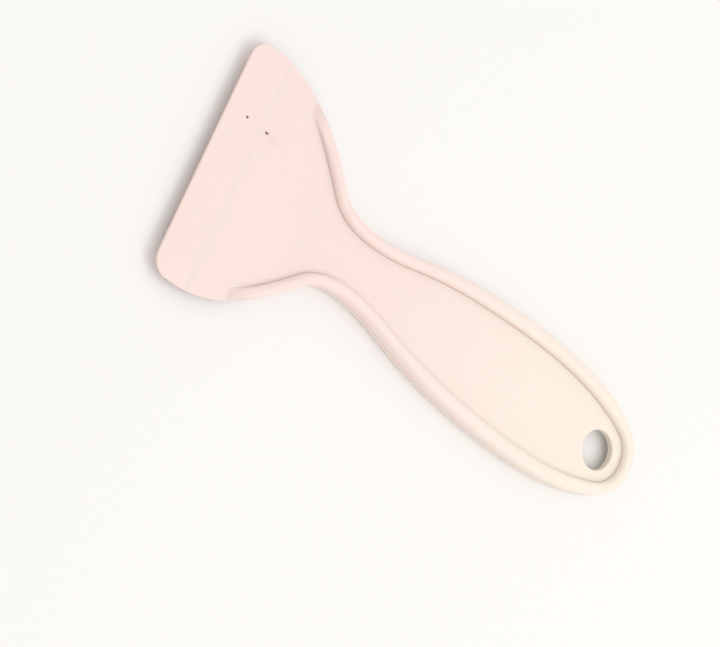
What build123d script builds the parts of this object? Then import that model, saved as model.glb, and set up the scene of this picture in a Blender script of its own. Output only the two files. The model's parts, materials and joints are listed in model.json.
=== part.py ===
# A flexible putty knife moulded in one piece from soft plastic: a wide, thin blade with a
# straight working edge, a narrow neck, and a flat handle with a hanging hole. A rounded
# bead runs round the handle and out over the blade's shoulders, proud of both faces, so
# that the section is an I and the blade lies clear of whatever the knife is laid on.
#
# The moulding is written as the zones that a maker names. They meet face to face where the
# plastic is really continuous. Two rolling knuckles across the blade, each a half-round
# edge in a matching groove, stand for the lines about which it bends.
#
# Millimetres. +X points from the handle to the working edge, +Z out of the top face, and
# the origin is under the middle of the knife, on the surface that it lies on.

from build123d import *
from math import cos, radians, sin
import os

# Overall sizes.
overall_length = 188.0
blade_width = 76.0
bead_height = 7.0
web_thickness = 2.4
edge_thickness = 1.0

# Blade outline, measured back from the working edge.
corner_radius = 6.0
shoulder_at = 25.0
shoulder_inset = 3.6
slope_at = 48.0
slope_width = 35.6
neck_at = 66.0
neck_width = 22.0
thinning_length = 44.0

# Handle outline, measured forward from the handle's end.
waist_from_end = 98.0
waist_width = 29.4
belly_from_end = 50.0
belly_width = 39.2
heel_radius = 13.4
heel_half_angle = 60.0
hole_radius = 6.0

# Bead.
bead_width = 3.8
bead_rounding = 1.3
run_out_at = 28.0
run_out_length = 16.0

# Lines about which the blade bends, measured back from the working edge, and the play
# round each knuckle and at the mouth of its groove.
root_line_at = 20.5
edge_line_at = 8.0
knuckle_clearance = 0.05
mouth_gap = 0.4

# Places that follow from these sizes.
front = overall_length / 2
back = -overall_length / 2
hole_x = back + heel_radius
mid_height = bead_height / 2

# How far a cutting solid reaches past the plastic, and the points in a copied curve.
cut_margin = 5.0
copy_steps = 10


def behind_edge(distance):
    # X of a line this far behind the working edge.
    return front - distance


def blade_thickness(distance):
    # The plate thins evenly from the web's thickness down to the working edge.
    share = min(distance / thinning_length, 1.0)
    return edge_thickness + (web_thickness - edge_thickness) * share


def moved_in(curve, inset):
    # A copy of a side curve, an even distance nearer to the handle's centre line.
    points = []
    for step in range(copy_steps + 1):
        along = curve % (step / copy_steps)
        inward = Vector(-along.Y, along.X)
        points.append(curve @ (step / copy_steps) + inward * inset)
    return Spline(*points, tangents=[curve % 0, curve % 1])


def outline(inset=0.0):
    # The knife seen from above. One side is drawn from the working edge to the heel and
    # mirrored about the handle's centre line. The heel is an arc about the hanging hole.
    half_blade = blade_width / 2
    corner_centre = (front - corner_radius, half_blade - corner_radius)
    heel_turn = radians(heel_half_angle)
    heel_start = (hole_x - heel_radius * cos(heel_turn), heel_radius * sin(heel_turn))
    heel_direction = (-sin(heel_turn), -cos(heel_turn))
    backward = (-1, 0)
    blade_side = Spline(
        (behind_edge(corner_radius), half_blade),
        (behind_edge(shoulder_at), half_blade - shoulder_inset),
        (behind_edge(slope_at), slope_width / 2),
        (behind_edge(neck_at), neck_width / 2),
        tangents=[backward, backward],
    )
    grip_side = Spline(
        (behind_edge(neck_at), neck_width / 2),
        (back + waist_from_end, waist_width / 2),
        (back + belly_from_end, belly_width / 2),
        tangents=[backward, backward],
    )
    heel_side = Spline(
        (back + belly_from_end, belly_width / 2),
        heel_start,
        tangents=[backward, heel_direction],
    )
    side = [
        Line((front - inset, 0), (front - inset, corner_centre[1])),
        CenterArc(corner_centre, corner_radius - inset, 0, 90),
        moved_in(blade_side, inset),
        moved_in(grip_side, inset),
        moved_in(heel_side, inset),
        CenterArc((hole_x, 0), heel_radius - inset, 180 - heel_half_angle, heel_half_angle),
    ]
    return make_face(side + [mirror(edge, about=Plane.XZ) for edge in side])


def between(start, end):
    # All the space between two lines across the knife, measured back from the working edge.
    middle = Pos(behind_edge((start + end) / 2), 0, mid_height)
    return middle * Box(end - start, blade_width + cut_margin, bead_height + cut_margin)


def wedge(upper_line):
    # The space under a line in side view and over its mirror image about mid height.
    lower_line = [(x, bead_height - z) for x, z in reversed(upper_line)]
    side_view = Plane.XZ * make_face(Polyline(*upper_line, *lower_line, close=True))
    return extrude(side_view, amount=blade_width, both=True)


def make_plate(outer):
    # The flat of the knife: an even web in the handle, thinning towards the working edge.
    top_at_edge = mid_height + edge_thickness / 2
    top_of_web = mid_height + web_thickness / 2
    thinning_ends = (behind_edge(thinning_length), top_of_web)
    upper_line = [(back, top_of_web), thinning_ends, (front, top_at_edge)]
    return extrude(outer, amount=bead_height) & wedge(upper_line)


def make_bead(outer, inner):
    # The bead follows the outline and sinks into the plate at its two front ends.
    ring = extrude(outer - inner, amount=bead_height)
    ring = fillet(ring.faces().filter_by(Axis.Z).edges(), radius=bead_rounding)
    sunk_height = mid_height + blade_thickness(run_out_at) / 2
    run_out_starts = (behind_edge(run_out_at + run_out_length), bead_height)
    run_out_ends = (behind_edge(run_out_at), sunk_height)
    return ring & wedge([(back, bead_height), run_out_starts, run_out_ends])


def knuckle(distance, clearance=0.0):
    # A round bar across the blade on one of its bending lines, as thick as the blade there.
    radius = blade_thickness(distance) / 2 + clearance
    bar = Rot(90, 0, 0) * Cylinder(radius, blade_width + cut_margin)
    return Pos(behind_edge(distance), 0, mid_height) * bar


def left_half():
    # All the space on the left of the centre line, seen from the handle.
    width = blade_width + cut_margin
    return Pos(0, width / 2, mid_height) * Box(2 * overall_length, width, 2 * bead_height)


def make_handle(plate, bead):
    # The stiff part: bead, handle web, neck and the blade's root.
    hole = Pos(hole_x, 0, mid_height) * Cylinder(hole_radius, bead_height)
    handle = between(neck_at, overall_length + cut_margin)
    shoulders = bead & between(run_out_at, neck_at)
    blade_root = plate & between(root_line_at + mouth_gap, thinning_length)
    return {
        "handle_rim": bead & handle,
        "handle_web": (plate & handle) - hole,
        "left_shoulder_bead": shoulders & left_half(),
        "right_shoulder_bead": shoulders - left_half(),
        "neck_web": plate & between(thinning_length, neck_at),
        "blade_root": blade_root - knuckle(root_line_at, knuckle_clearance),
    }


def make_blade(plate, outer):
    # The two strips that bend, each with a half-round rear edge.
    inside_outline = extrude(outer, amount=bead_height)
    middle = plate & between(edge_line_at + mouth_gap, root_line_at)
    middle = middle - knuckle(edge_line_at, knuckle_clearance)
    edge = plate & between(-cut_margin, edge_line_at)
    return {
        "blade_middle": middle + (knuckle(root_line_at) & inside_outline),
        "blade_edge": edge + (knuckle(edge_line_at) & inside_outline),
    }


outer = outline()
bead = make_bead(outer, outline(bead_width))
plate = make_plate(outer) - bead
parts = make_handle(plate, bead) | make_blade(plate, outer)

os.makedirs("parts", exist_ok=True)
for name, solid in parts.items():
    export_step(solid, f"parts/{name}.step")
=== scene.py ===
import json
import math

import bmesh
import bpy
from mathutils import Matrix, Vector


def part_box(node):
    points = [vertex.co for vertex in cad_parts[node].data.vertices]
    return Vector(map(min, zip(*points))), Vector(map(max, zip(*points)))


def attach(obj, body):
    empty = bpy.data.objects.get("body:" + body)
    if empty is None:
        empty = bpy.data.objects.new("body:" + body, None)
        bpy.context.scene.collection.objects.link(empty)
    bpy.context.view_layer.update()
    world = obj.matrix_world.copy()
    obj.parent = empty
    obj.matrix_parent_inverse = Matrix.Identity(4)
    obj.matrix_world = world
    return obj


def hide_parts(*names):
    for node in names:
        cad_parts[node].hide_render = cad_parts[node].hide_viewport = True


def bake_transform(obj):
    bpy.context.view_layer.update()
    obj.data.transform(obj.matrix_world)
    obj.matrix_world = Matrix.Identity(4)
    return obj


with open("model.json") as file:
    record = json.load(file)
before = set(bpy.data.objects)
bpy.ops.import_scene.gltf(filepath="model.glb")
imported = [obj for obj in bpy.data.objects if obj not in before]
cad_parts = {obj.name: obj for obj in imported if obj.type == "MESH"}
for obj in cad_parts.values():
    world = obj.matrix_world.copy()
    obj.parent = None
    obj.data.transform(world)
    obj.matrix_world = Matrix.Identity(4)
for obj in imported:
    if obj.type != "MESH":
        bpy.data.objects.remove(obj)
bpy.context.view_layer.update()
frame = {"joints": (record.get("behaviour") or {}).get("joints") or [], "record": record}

mm = 0.001      # lengths in the dictionaries below are in millimetres, unless they say metres
touching = 1e-6     # metres: points nearer than this are one

# Heights, and lines across the knife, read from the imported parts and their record.
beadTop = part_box("handle_rim")[1][2]
midHeight = beadTop / 2
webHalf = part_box("handle_web")[1][2] - midHeight
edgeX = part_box("blade_edge")[1][0]
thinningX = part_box("neck_web")[1][0]
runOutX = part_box("left_shoulder_bead")[1][0]
hinges = {joint["name"]: joint["pos_m"][0] for joint in frame["joints"]}
rootLineX = hinges["blade_flex_root"]
edgeLineX = hinges["blade_flex_edge"]
stripX = (rootLineX + edgeLineX) / 2    # where the blade's two skins meet, midway between its two hinge lines
hole = frame["record"]["mounts"][0]
holeX = hole["pos_m"][0]
holeRadius = hole["dims"]["r_mm"]       # millimetres


def clearSelection():
    if bpy.context.object and bpy.context.object.mode != "OBJECT":
        bpy.ops.object.mode_set(mode="OBJECT")
    bpy.ops.object.select_all(action="DESELECT")


def pick(item):
    clearSelection()
    item.select_set(True)
    bpy.context.view_layer.objects.active = item


def edit(item):
    pick(item)
    bpy.ops.object.mode_set(mode="EDIT")
    bpy.ops.mesh.select_mode(type="VERT")
    bpy.ops.mesh.select_all(action="SELECT")


def leaveEdit():
    bpy.ops.object.mode_set(mode="OBJECT")


def numberRing(item, number):
    # The vertices that are selected in edit mode get the number of their ring.
    mesh = bmesh.from_edit_mesh(item.data)
    ring = mesh.verts.layers.int["ring"]
    for vertex in mesh.verts:
        if vertex.select:
            vertex[ring] = number


blade = {
    "edgeHalf": 0.5,    # half the thickness of the working edge
    "rim": 0.45,        # rounding of the blade's rim
    "bendStep": 1.0,    # between the lines that let the blade bend
    "bendLines": 14,    # on each side of the line where its two skins meet
}


def bladeHalf(x):
    # Half the plate's thickness: an even web, thinning towards the working edge.
    share = min(max((edgeX - x) / (edgeX - thinningX), 0.0), 1.0)
    edgeHalf = blade["edgeHalf"] * mm
    return edgeHalf + (webHalf - edgeHalf) * share


# The bead's section, from the outline inwards, in millimetres.
bead = {
    "resolution": 32,   # steps between two points of the outline
    "flash": 0.08,      # the parting line stands out this far
    "flashHalf": 0.12,
    "draft": 0.06,
    "outerRound": 1.5,
    "crown": 0.7,
    "innerRound": 1.4,
    "footRound": 0.45,
    "flat": 0.35,
    "steps": 6,         # in each rounded corner of the bead
    "footSteps": 4,
    "fullX": 44.0,      # the bead has its full height behind this line
    "tip": 3.0,         # how bluntly it ends on the blade
    "gripExtra": 0.85,  # how much wider the crown is round the palm
    "gripFrom": 10.0,   # it widens behind this line
    "gripFull": -30.0,
    "gripEase": -74.0,  # and narrows again from this line to the next
    "gripTo": -90.0,
}


def beadShare(x):
    # How much of the bead's height stands at this line: all of it, or none past its tip.
    share = min(max((runOutX - x) / (runOutX - bead["fullX"] * mm), 0.0), 1.0)
    return 1 - (1 - share) ** bead["tip"]


def easeBetween(x, start, end):
    share = min(max((x / mm - start) / (end - start), 0.0), 1.0)
    return share * share * (3 - 2 * share)


def gripShare(x):
    # How far the crown has widened at this line: fully round the palm, not at the heel.
    widened = easeBetween(x, bead["gripFrom"], bead["gripFull"])
    return widened * (1 - easeBetween(x, bead["gripEase"], bead["gripTo"]))


def quarter(steps):
    # The turns of a rounded corner, after its start.
    return [math.radians(90 * step / steps) for step in range(1, steps + 1)]


def beadRings():
    # Distance in from the outline, and height over mid height, of each ring of the bead.
    outer, inner, foot = bead["outerRound"], bead["innerRound"], bead["footRound"]
    top, web = (beadTop - midHeight) / mm, webHalf / mm
    face = bead["flash"] + bead["draft"]
    crown = face + outer + bead["crown"]
    wall = crown + inner + bead["draft"]
    rings = [(bead["flash"], bead["flashHalf"]), (face, top - outer)]
    for turn in quarter(bead["steps"]):
        rings.append((face + outer * (1 - math.cos(turn)), top - outer * (1 - math.sin(turn))))
    rings.append((crown - bead["crown"] / 2, top))
    rings.append((crown, top))
    for turn in quarter(bead["steps"]):
        rings.append((crown + inner * math.sin(turn), top - inner * (1 - math.cos(turn))))
    rings.append((wall, web + foot))
    for turn in quarter(bead["footSteps"]):
        rings.append((wall + foot * (1 - math.cos(turn)), web + foot * (1 - math.sin(turn))))
    rings.append((wall + foot + bead["flat"], web))
    return rings


# The hanging hole.
eye = {
    "around": 96,       # points round its rim
    "lip": 0.35,        # rounding of its rim
    "lipSteps": 5,
    "collar": 0.6,      # even ring of faces round the lip
}


def eyeRings():
    # Radius and height of each ring of the hanging hole: flat collar, rounded lip, wall.
    lip, web = eye["lip"], webHalf / mm
    rings = [(holeRadius + lip + eye["collar"], web), (holeRadius + lip, web)]
    for turn in quarter(eye["lipSteps"]):
        rings.append((holeRadius + lip * (1 - math.sin(turn)), web - lip * (1 - math.cos(turn))))
    rings.append((holeRadius, 0.0))
    return rings


def ringHeight(distance, height, x):
    # Where the bead stands, the ring is at its bead height. Where it has run out, the
    # ring lies on the plate, which is rounded at its rim.
    plate = bladeHalf(x)
    inside = max(blade["rim"] - distance, 0.0)
    onPlate = plate - (blade["rim"] - math.sqrt(blade["rim"] ** 2 - inside ** 2)) * mm
    onBead = height * mm * plate / webHalf
    if height * mm > webHalf:
        onBead = plate + height * mm - webHalf
    return onPlate + (onBead - onPlate) * beadShare(x)


# One side of the outline, from the working edge back to the heel, in millimetres:
# place, direction of travel in degrees, and the pull of the handles behind and ahead.
knifeOutline = {
    "edgeEnd": (94.0, 32.0, 90.0, 10.6, 3.3),
    "corner": (88.0, 38.0, 180.0, 3.3, 7.2),
    "shoulder": (69.0, 34.4, 203.4, 6.3, 5.2),
    "slope": (46.0, 17.8, 223.4, 14.7, 3.9),
    "neck": (28.0, 11.0, 180.0, 11.8, 9.3),
    "waist": (4.0, 14.7, 167.6, 7.8, 15.0),
    "belly": (-44.0, 19.6, 180.0, 17.4, 17.1),
    "heelSide": (-87.3, 11.6, 210.0, 12.5, 10.3),
}


def drawOutline():
    # A circle's four points are subdivided until each name has one on either side.
    cuts = len(knifeOutline) // 2 - 1
    bpy.ops.curve.primitive_bezier_circle_add(radius=edgeX, location=(0, 0, 0))
    outline = bpy.context.object
    outline.name = "knife"
    bpy.ops.object.mode_set(mode="EDIT")
    bpy.ops.curve.select_all(action="SELECT")
    bpy.ops.curve.subdivide(number_cuts=cuts)
    leaveEdit()
    left = []
    for x, y, direction, behind, ahead in knifeOutline.values():
        turn = math.radians(direction)
        along = Vector((math.cos(turn), math.sin(turn), 0))
        place = Vector((x, y, 0))
        left.append((place - along * behind, place, place + along * ahead))
    across = Matrix.Scale(-1, 3, (0, 1, 0))
    right = [(across @ late, across @ place, across @ early) for early, place, late in reversed(left)]
    controls = outline.data.splines[0].bezier_points
    for control, (early, place, late) in zip(controls, left + right):
        control.handle_left_type = control.handle_right_type = "FREE"
        control.handle_left = early * mm
        control.co = place * mm
        control.handle_right = late * mm
    outline.data.resolution_u = bead["resolution"]
    bpy.ops.object.convert(target="MESH")
    outline = bpy.context.object
    outline.data.attributes.new("ring", "INT", "POINT")
    print("outline:", len(outline.data.vertices), "points")
    return outline


def layRings(knife, rings):
    # The outline is filled, and the bead's rings are inset while it is still flat.
    edit(knife)
    bpy.ops.mesh.edge_face_add()
    reached = 0.0
    for number, (distance, _) in enumerate(rings, 1):
        bpy.ops.mesh.inset(thickness=(distance - reached) * mm, depth=0, use_even_offset=True)
        numberRing(knife, number)
        reached = distance
    bpy.ops.mesh.delete(type="ONLY_FACE")


def layEye(knife, rings, firstNumber):
    centre = (holeX, 0, 0)
    size = rings[0][0]
    bpy.ops.mesh.select_all(action="DESELECT")
    bpy.ops.mesh.primitive_circle_add(
        vertices=eye["around"], radius=size * mm, fill_type="NOTHING", location=centre)
    numberRing(knife, firstNumber)
    for number, (radius, _) in enumerate(rings[1:], firstNumber + 1):
        bpy.ops.mesh.extrude_edges_move()
        bpy.ops.transform.resize(value=(radius / size, radius / size, 1), center_override=centre)
        numberRing(knife, number)
        size = radius


def fillPanel(knife, border, collar):
    # The flat between the bead and the hole is filled and marked as the mesh's second
    # material, and gets an edge where the plate starts to thin.
    bpy.ops.mesh.select_all(action="DESELECT")
    bpy.ops.mesh.select_mode(type="VERT")
    mesh = bmesh.from_edit_mesh(knife.data)
    ring = mesh.verts.layers.int["ring"]
    for vertex in mesh.verts:
        vertex.select = vertex[ring] in (border, collar)
    mesh.select_flush_mode()
    bpy.ops.mesh.fill(use_beauty=True)
    mesh = bmesh.from_edit_mesh(knife.data)
    for face in mesh.faces:
        if face.select:
            face.material_index = 1
    bpy.ops.mesh.bisect(plane_co=(thinningX, 0, 0), plane_no=(1, 0, 0), threshold=touching)


def raiseTopHalf(knife):
    rings = beadRings()
    holeRings = eyeRings()
    collar = len(rings) + 1
    layRings(knife, rings)
    layEye(knife, holeRings, collar)
    fillPanel(knife, len(rings), collar)
    leaveEdit()
    # Where the crown is wider, every ring from its middle inwards moves in.
    crownStart = bead["flash"] + bead["draft"] + bead["outerRound"] + bead["crown"] / 4
    for vertex, mark in zip(knife.data.vertices, knife.data.attributes["ring"].data):
        if mark.value >= collar:
            vertex.co.z = holeRings[mark.value - collar][1] * mm
        elif mark.value:
            distance, height = rings[mark.value - 1]
            vertex.co.z = ringHeight(distance, height, vertex.co.x)
            if distance > crownStart:
                inwards = bead["gripExtra"] * mm * gripShare(vertex.co.x)
                vertex.co.y -= math.copysign(inwards, vertex.co.y)
    print("top half:", len(rings), "rings,", len(knife.data.vertices), "vertices")


def cutAcross(item, x):
    edit(item)
    bpy.ops.mesh.bisect(plane_co=(x, 0, 0), plane_no=(1, 0, 0), threshold=touching)
    leaveEdit()


def addBottomHalf(knife):
    edit(knife)
    bpy.ops.mesh.duplicate()
    bpy.ops.transform.resize(value=(1, 1, -1), center_override=(0, 0, 0))
    bpy.ops.mesh.select_all(action="SELECT")
    bpy.ops.mesh.remove_doubles(threshold=touching)
    bpy.ops.transform.translate(value=(0, 0, midHeight))
    bpy.ops.mesh.normals_make_consistent(inside=False)
    leaveEdit()
    print("both halves:", len(knife.data.vertices), "vertices")


def takeOff(item, name, wanted):
    # The wanted faces become a piece of their own.
    edit(item)
    bpy.ops.mesh.select_all(action="DESELECT")
    bpy.ops.mesh.select_mode(type="FACE")
    mesh = bmesh.from_edit_mesh(item.data)
    for face in mesh.faces:
        face.select = wanted(face, face.calc_center_median())
    mesh.select_flush_mode()
    bpy.ops.mesh.separate(type="SELECTED")
    leaveEdit()
    piece = [other for other in bpy.context.selected_objects if other is not item][0]
    piece.name = piece.data.name = name
    return piece


creaseAngle = 40.0      # degrees: edges that turn more than this stay sharp


def closeUp(item, *capLines):
    # The upper rim of a cut is drawn down to the lower one as a wall, and then the ends
    # across the knife are capped.
    edit(item)
    bpy.ops.mesh.select_all(action="DESELECT")
    bpy.ops.mesh.select_mode(type="EDGE")
    mesh = bmesh.from_edit_mesh(item.data)
    for edge in mesh.edges:
        ends = [vertex.co for vertex in edge.verts]
        onCap = any(max(abs(end.x - line) for end in ends) < touching for line in capLines)
        edge.select = edge.is_boundary and not onCap and ends[0].z > midHeight
    mesh.select_flush_mode()
    if any(edge.select for edge in mesh.edges):
        bpy.ops.mesh.extrude_edges_move()
        bpy.ops.transform.resize(value=(1, 1, -1), center_override=(0, 0, midHeight))
    bpy.ops.mesh.select_mode(type="VERT")
    bpy.ops.mesh.select_all(action="SELECT")
    bpy.ops.mesh.remove_doubles(threshold=touching)
    bpy.ops.mesh.fill_holes(sides=0)
    bpy.ops.mesh.select_all(action="SELECT")
    bpy.ops.mesh.normals_make_consistent(inside=False)
    leaveEdit()
    item.data.attributes.remove(item.data.attributes["ring"])
    for polygon in item.data.polygons:
        polygon.material_index = 0
    bpy.ops.object.shade_smooth_by_angle(angle=math.radians(creaseAngle))
    print(item.name, len(item.data.polygons), "faces")


def inPanel(face, centre):
    onEye = math.hypot(centre.x - holeX, centre.y) < eyeRings()[0][0] * mm
    return face.material_index == 1 or onEye


clearSelection()
knife = drawOutline()
raiseTopHalf(knife)
bendLines = [runOutX, stripX]
for step in range(1, blade["bendLines"] + 1):
    bendLines += [stripX + side * step * blade["bendStep"] * mm for side in (-1, 1)]
for line in bendLines:
    if runOutX <= line < edgeX - blade["rim"] * mm:
        cutAcross(knife, line)
addBottomHalf(knife)

bladeEdge = takeOff(knife, "working_edge_skin", lambda face, centre: centre.x > stripX)
handleBead = takeOff(
    knife, "handle_bead", lambda face, centre: centre.x < runOutX and not inPanel(face, centre))
handlePanel = takeOff(knife, "handle_panel", lambda face, centre: centre.x < thinningX)
bladeRoot = knife
bladeRoot.name = bladeRoot.data.name = "blade_skin"
closeUp(bladeEdge, stripX)
closeUp(handleBead, runOutX)
closeUp(handlePanel)
closeUp(bladeRoot, stripX, runOutX)


class Nodes:
    # A node tree that is written as a recipe: add a node, set its sockets, link.
    def __init__(self, tree):
        self.tree = tree
        self.tree.nodes.clear()

    def add(self, kind, **settings):
        node = self.tree.nodes.new(kind)
        for name, value in settings.items():
            if name in node.bl_rna.properties:
                setattr(node, name, value)
            else:
                self.set(node, name.replace("_", " "), value)
        return node

    def set(self, node, name, value):
        socket = node.inputs[int(name)] if name.isdigit() else node.inputs[name]
        if isinstance(value, bpy.types.NodeSocket):
            self.tree.links.new(value, socket)
        else:
            socket.default_value = value


def ramp(nodes, value, start, end, low=0.0, high=1.0):
    # A value that runs from low to high while another one runs from start to end.
    node = nodes.add("ShaderNodeMapRange", interpolation_type="SMOOTHSTEP", Value=value)
    nodes.set(node, "From Min", start)
    nodes.set(node, "From Max", end)
    nodes.set(node, "To Min", low)
    nodes.set(node, "To Max", high)
    return node.outputs["Result"]


def sums(nodes, operation, *values):
    node = nodes.add("ShaderNodeMath", operation=operation)
    for number, value in enumerate(values):
        nodes.set(node, str(number), value)
    return node.outputs[0]


def blendColor(nodes, share, first, second):
    node = nodes.add("ShaderNodeMix", data_type="RGBA")
    nodes.set(node, "0", share)
    nodes.set(node, "6", first if isinstance(first, bpy.types.NodeSocket) else (*first, 1))
    nodes.set(node, "7", (*second, 1))
    return node.outputs[2]


def noise(nodes, place, scale, detail):
    node = nodes.add("ShaderNodeTexNoise", Vector=place, Scale=scale, Detail=detail)
    return node.outputs["Fac"]


def ovalAway(nodes, place, centre, reach):
    # How far a point is from an oval's centre: 0 there, and 1 on its outline.
    mapping = nodes.add("ShaderNodeMapping", vector_type="TEXTURE", Vector=place)
    nodes.set(mapping, "Location", centre)
    nodes.set(mapping, "Scale", reach)
    away = nodes.add("ShaderNodeVectorMath", operation="LENGTH", Vector=mapping.outputs["Vector"])
    return away.outputs["Value"]


# Dark specks in the blade: place, and half of each one's length and width.
specks = {
    "nearEdge": (86.1, -15.8, 0.55, 0.42),
    "inner": (77.6, -15.5, 0.70, 0.38),
}

# A speck's outline is broken up by noise, which is added to the distance from its middle.
speckForm = {
    "color": (0.20, 0.13, 0.09),
    "rough": (1500.0, 2.0),     # the noise's features to the metre, and its finer detail
    "uneven": 0.9,
    "fadeFrom": 1.75,           # no colour past this sum, in half sizes
    "fadeTo": 1.05,             # full colour within this one
}


def speckMask(nodes, place):
    # Where a speck's dark spot lies: one small uneven oval for each.
    rough = noise(nodes, place, *speckForm["rough"])
    marks = []
    for x, y, halfLength, halfWidth in specks.values():
        centre = (x * mm, y * mm, midHeight + bladeHalf(x * mm))
        away = ovalAway(nodes, place, centre, (halfLength * mm, halfWidth * mm, halfWidth * mm))
        uneven = sums(nodes, "MULTIPLY_ADD", rough, speckForm["uneven"], away)
        marks.append(ramp(nodes, uneven, speckForm["fadeFrom"], speckForm["fadeTo"]))
    mask = marks[0]
    for mark in marks[1:]:
        mask = sums(nodes, "MAXIMUM", mask, mark)
    return mask


# A faint smudge that trails from the specks towards the handle.
smudge = {
    "place": (75.5, -14.9),
    "reach": (8.5, 2.2, 20.0),
    "fullWithin": 0.1,          # this share of its reach
    "strength": 0.09,
    "color": (0.45, 0.33, 0.27),
}


def smudgeMask(nodes, place):
    x, y = smudge["place"]
    reach = [size * mm for size in smudge["reach"]]
    away = ovalAway(nodes, place, (x * mm, y * mm, midHeight), reach)
    return ramp(nodes, away, 1.0, smudge["fullWithin"], 0.0, smudge["strength"])


# The plastic. Clouds, grain and waves have their features to the metre, and finer detail.
plastic = {
    "blade": (0.94, 0.765, 0.72),
    "heel": (0.94, 0.855, 0.75),
    "tintFrom": -94.0,          # the colour turns from the heel's to the blade's
    "tintTo": 40.0,
    "roughness": 0.42,
    "roughnessSpread": 0.04,    # either way, with the mottling
    "subsurface": 0.18,
    "subsurfaceScale": 1.5,
    "subsurfaceRadius": (1.0, 0.55, 0.4),
    "clouds": (34.0, 4.0),      # soft mottling of the colour
    "cloudRange": (0.3, 0.7),
    "cloudDepth": 0.035,
    "cloudColor": (0.76, 0.60, 0.52),
    "grain": (2600.0, 3.0),     # fine texture of the mould's wall
    "grainHeight": 0.012,
    "waves": (95.0, 1.0),       # shallow sinks and waves over the flats
    "waveHeight": 0.06,
    "scratches": (38.0, 3400.0, 900.0),     # to the metre: drawn along the knife by its use
    "scratchDetail": 3.0,
    "scratchRange": (0.63, 0.72),
    "scratchesFrom": 30.0,      # none behind this line
    "scratchHeight": 0.006,
    "scratchPale": 0.10,
    "scratchColor": (0.97, 0.92, 0.89),
    "scratchRoughness": 0.10,
    "polish": 0.10,             # the crown is handled, and shines a little more
    "polishDepth": 1.2,
    "worn": 0.14,               # the working edge is rubbed dull
    "wornFrom": 86.0,
}

# Painted shade: the bead's foot, where the bead shades the plate, is darkened with a brown colour,
# and a dark line is painted along the parting line at mid height.
paintedShadeAndLine = {
    "color": (0.50, 0.36, 0.29),
    "foot": 0.60,
    "footSoft": 0.12,           # it sets in over this height above the plate
    "footFull": 0.2,            # and thins out from this height
    "footTop": 1.5,             # up to this one, on the bead's inner side
    "leaning": (0.05, 0.3),     # how far a face's normal rises: none, and full
    "tipFade": 9.0,             # it thins out over this last stretch of the bead
    "tip": 0.2,                 # to this share
    "line": 0.55,
    "lineHalf": (0.3, 0.1),     # none and full, this far from mid height
}


def scratchMask(nodes, place, along):
    # Fine hair lines along the blade, stronger towards the working edge.
    mapping = nodes.add("ShaderNodeMapping", Vector=place, Scale=plastic["scratches"])
    lines = noise(nodes, mapping.outputs["Vector"], 1.0, plastic["scratchDetail"])
    hairs = ramp(nodes, lines, *plastic["scratchRange"])
    strength = ramp(nodes, along, plastic["scratchesFrom"] * mm, edgeX)
    return sums(nodes, "MULTIPLY", hairs, strength)


def grimeMask(nodes, along, up):
    # How far a point stands over the plate tells the bead's foot, where shade is painted, from the
    # rest. The foot leans, and the bead's steep walls, which get no painted shade, don't.
    fromMiddle = sums(nodes, "ABSOLUTE", sums(nodes, "SUBTRACT", up, midHeight))
    plate = nodes.add("ShaderNodeMapRange", Value=along)
    nodes.set(plate, "From Min", thinningX)
    nodes.set(plate, "From Max", edgeX)
    nodes.set(plate, "To Min", webHalf)
    nodes.set(plate, "To Max", blade["edgeHalf"] * mm)
    over = sums(nodes, "SUBTRACT", fromMiddle, plate.outputs["Result"])
    starts = ramp(nodes, over, 0.0, paintedShadeAndLine["footSoft"] * mm)
    thins = ramp(nodes, over, paintedShadeAndLine["footTop"] * mm, paintedShadeAndLine["footFull"] * mm)
    foot = sums(nodes, "MULTIPLY", starts, thins)
    geometry = nodes.add("ShaderNodeNewGeometry")
    normal = nodes.add("ShaderNodeSeparateXYZ", Vector=geometry.outputs["Normal"])
    leaning = ramp(nodes, sums(nodes, "ABSOLUTE", normal.outputs["Z"]), *paintedShadeAndLine["leaning"])
    foot = sums(nodes, "MULTIPLY", foot, leaning)
    fadeX = runOutX - paintedShadeAndLine["tipFade"] * mm
    foot = sums(nodes, "MULTIPLY", foot, ramp(nodes, along, runOutX, fadeX, paintedShadeAndLine["tip"], 1.0))
    # A dark line is painted within a few tenths of a millimetre of mid height: along the parting line
    # round the outline, and round the hole's wall.
    none, full = paintedShadeAndLine["lineHalf"]
    line = ramp(nodes, fromMiddle, none * mm, full * mm, 0.0, paintedShadeAndLine["line"])
    return sums(nodes, "MULTIPLY_ADD", foot, paintedShadeAndLine["foot"], line)


def rememberRest(piece):
    # Each point keeps its place at rest, so that marks stay where they are on the blade
    # while it bends.
    places = [number for vertex in piece.data.vertices for number in vertex.co]
    restPlace = piece.data.attributes.new("restPlace", "FLOAT_VECTOR", "POINT")
    restPlace.data.foreach_set("vector", places)


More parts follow.
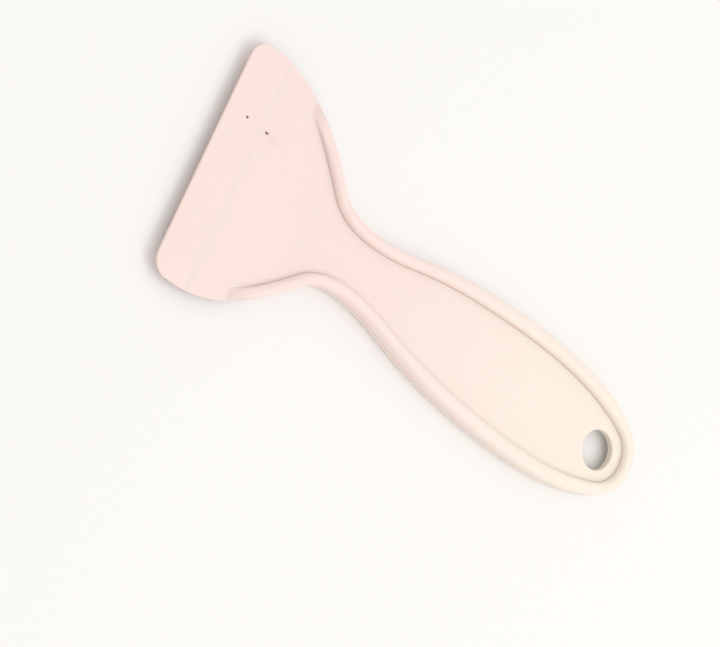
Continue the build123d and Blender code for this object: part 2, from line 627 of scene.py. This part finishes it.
def mouldedPlastic():
    material = bpy.data.materials.new("moulded_plastic")
    material.use_nodes = True
    nodes = Nodes(material.node_tree)
    place = nodes.add("ShaderNodeAttribute", attribute_name="restPlace").outputs["Vector"]
    shader = nodes.add("ShaderNodeBsdfPrincipled")
    split = nodes.add("ShaderNodeSeparateXYZ", Vector=place)
    along, up = split.outputs["X"], split.outputs["Z"]
    scratches = scratchMask(nodes, place, along)
    mottling = noise(nodes, place, *plastic["clouds"])
    crown = ramp(nodes, up, beadTop - plastic["polishDepth"] * mm, beadTop)
    worn = ramp(nodes, along, plastic["wornFrom"] * mm, edgeX)

    tint = ramp(nodes, along, plastic["tintFrom"] * mm, plastic["tintTo"] * mm)
    color = blendColor(nodes, tint, plastic["heel"], plastic["blade"])
    shade = ramp(nodes, mottling, *plastic["cloudRange"], 0.0, plastic["cloudDepth"])
    color = blendColor(nodes, shade, color, plastic["cloudColor"])
    pale = sums(nodes, "MULTIPLY", scratches, plastic["scratchPale"])
    color = blendColor(nodes, pale, color, plastic["scratchColor"])
    # Painted shade in the bead's foot, and a painted dark line at mid height.
    color = blendColor(nodes, grimeMask(nodes, along, up), color, paintedShadeAndLine["color"])
    color = blendColor(nodes, smudgeMask(nodes, place), color, smudge["color"])
    color = blendColor(nodes, speckMask(nodes, place), color, speckForm["color"])
    nodes.set(shader, "Base Color", color)

    smoothest = plastic["roughness"] - plastic["roughnessSpread"]
    roughest = plastic["roughness"] + plastic["roughnessSpread"]
    roughness = ramp(nodes, mottling, *plastic["cloudRange"], smoothest, roughest)
    roughness = sums(nodes, "MULTIPLY_ADD", crown, -plastic["polish"], roughness)
    roughness = sums(nodes, "MULTIPLY_ADD", worn, plastic["worn"], roughness)
    roughness = sums(nodes, "MULTIPLY_ADD", scratches, plastic["scratchRoughness"], roughness)
    nodes.set(shader, "Roughness", roughness)

    grain = noise(nodes, place, *plastic["grain"])
    wave = noise(nodes, place, *plastic["waves"])
    height = sums(nodes, "MULTIPLY", grain, plastic["grainHeight"] * mm)
    height = sums(nodes, "MULTIPLY_ADD", wave, plastic["waveHeight"] * mm, height)
    height = sums(nodes, "MULTIPLY_ADD", scratches, -plastic["scratchHeight"] * mm, height)
    bump = nodes.add("ShaderNodeBump", Height=height, Strength=1.0, Distance=1.0)
    nodes.set(shader, "Normal", bump.outputs["Normal"])

    nodes.set(shader, "Subsurface Weight", plastic["subsurface"])
    nodes.set(shader, "Subsurface Scale", plastic["subsurfaceScale"] * mm)
    nodes.set(shader, "Subsurface Radius", plastic["subsurfaceRadius"])
    output = nodes.add("ShaderNodeOutputMaterial")
    nodes.set(output, "Surface", shader.outputs["BSDF"])
    print("moulded plastic:", len(nodes.tree.nodes), "nodes")
    return material


finish = mouldedPlastic()
for piece in (bladeEdge, handleBead, handlePanel, bladeRoot):
    piece.data.materials.clear()
    piece.data.materials.append(finish)
    rememberRest(piece)

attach(handleBead, "handle")
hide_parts("handle_rim", "left_shoulder_bead", "right_shoulder_bead")
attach(handlePanel, "handle")
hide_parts("handle_web", "neck_web")
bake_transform(bladeRoot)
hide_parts("blade_root", "blade_middle")
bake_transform(bladeEdge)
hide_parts("blade_edge")


table = {
    "size": 6.0,            # metres
    "color": (0.93, 0.925, 0.92),
    "roughness": 0.6,
}


def layFloor():
    clearSelection()
    bpy.ops.mesh.primitive_plane_add(size=table["size"], location=(0, 0, 0))
    floor = bpy.context.object
    floor.name = "floor"
    material = bpy.data.materials.new("pale_table")
    material.use_nodes = True
    shader = material.node_tree.nodes["Principled BSDF"]
    shader.inputs["Base Color"].default_value = (*table["color"], 1)
    shader.inputs["Roughness"].default_value = table["roughness"]
    floor.data.materials.append(material)
    print("floor laid")


studio = {
    "world": (1.0, 0.985, 0.97),
    "worldStrength": 0.88,
    "keyTowards": (-0.97, 0.25),    # across the table, towards the key light
    "keyRise": 62.0,        # degrees
    "keyDistance": 1.2,     # metres, as is its size
    "keySize": 1.1,
    "keyPower": 3.3,
    "keyColor": (1.0, 0.985, 0.97),
}


def lightStudio():
    world = bpy.data.worlds.new("studio")
    world.use_nodes = True
    background = world.node_tree.nodes["Background"]
    background.inputs["Color"].default_value = (*studio["world"], 1)
    background.inputs["Strength"].default_value = studio["worldStrength"]
    bpy.context.scene.world = world
    rise = math.radians(studio["keyRise"])
    across = Vector((*studio["keyTowards"], 0)).normalized() * math.cos(rise)
    towards = across + Vector((0, 0, math.sin(rise)))
    bpy.ops.object.light_add(type="AREA", location=towards * studio["keyDistance"])
    key = bpy.context.object
    key.name = "key_light"
    key.rotation_euler = towards.to_track_quat("Z", "Y").to_euler()
    key.data.shape = "DISK"
    key.data.size = studio["keySize"]
    key.data.energy = studio["keyPower"]
    key.data.color = studio["keyColor"]
    bpy.context.scene.view_settings.view_transform = "Standard"
    print("studio lit")


# The camera's place in metres and its turn in degrees. A long lens stands far off.
view = {
    "place": (1.5217, 0.7586, 1.9765),
    "turn": (-3.577, -40.255, -148.104),
    "lens": 450.0,
    "sensor": 36.0,
    "farthest": 10.0,       # metres
}


def placeCamera():
    bpy.ops.object.camera_add(location=view["place"])
    camera = bpy.context.object
    camera.rotation_euler = [math.radians(angle) for angle in view["turn"]]
    camera.data.lens = view["lens"]
    camera.data.sensor_width = view["sensor"]
    camera.data.clip_end = view["farthest"]
    bpy.context.scene.camera = camera
    print("camera placed")


layFloor()
lightStudio()
placeCamera()
